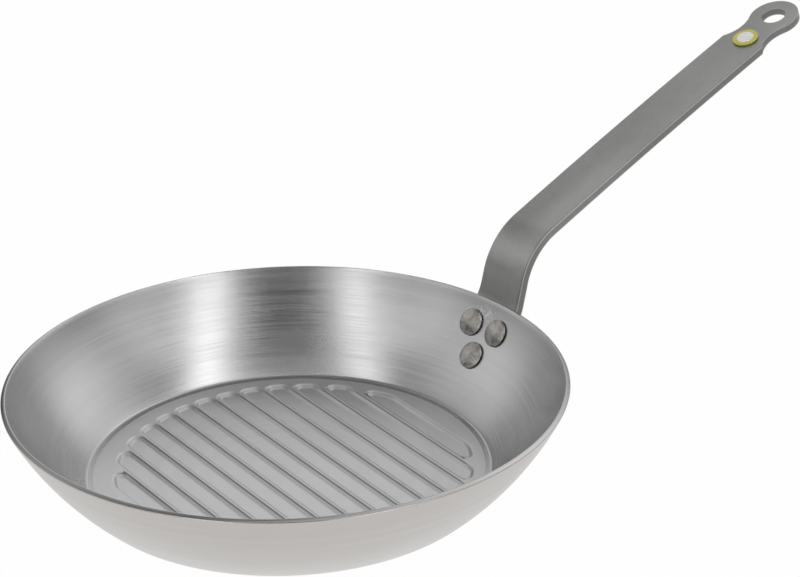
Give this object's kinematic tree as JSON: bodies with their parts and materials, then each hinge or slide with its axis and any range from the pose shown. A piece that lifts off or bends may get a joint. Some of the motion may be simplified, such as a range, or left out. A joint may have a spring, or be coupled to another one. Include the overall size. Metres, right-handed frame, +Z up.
{
  "type": "grill pan",
  "caption": "Round grill pan of sheet steel with a flared wall, parallel channels pressed into its base, and a riveted bent strip handle with a hanging hole.",
  "frame": {"origin": "middle of the resting face, on the pan's axis, at the level of the surface that it stands on", "axes": "+Z up along the pan's axis, +X out along the handle, +Y to the left when looking from the pan along the handle"},
  "size_m": [0.463, 0.2596, 0.1553],
  "materials": {
    "pan_steel": "fine brushed, running round the pan",
    "handle_steel": "grey coated steel, satin, slightly uneven",
    "rivet_steel": "dull, hammered and pitted",
    "badge_yellow": "yellow green moulded plastic",
    "badge_white": "plain white, smooth"
  },
  "bodies": {
    "root": {"pan_body": "pan_steel", "handle": "handle_steel", "rivet_upper_left": "rivet_steel", "rivet_upper_right": "rivet_steel", "rivet_lower": "rivet_steel", "badge_cap": "badge_yellow", "badge_inlay": "badge_white"}
  },
  "joints": []
}
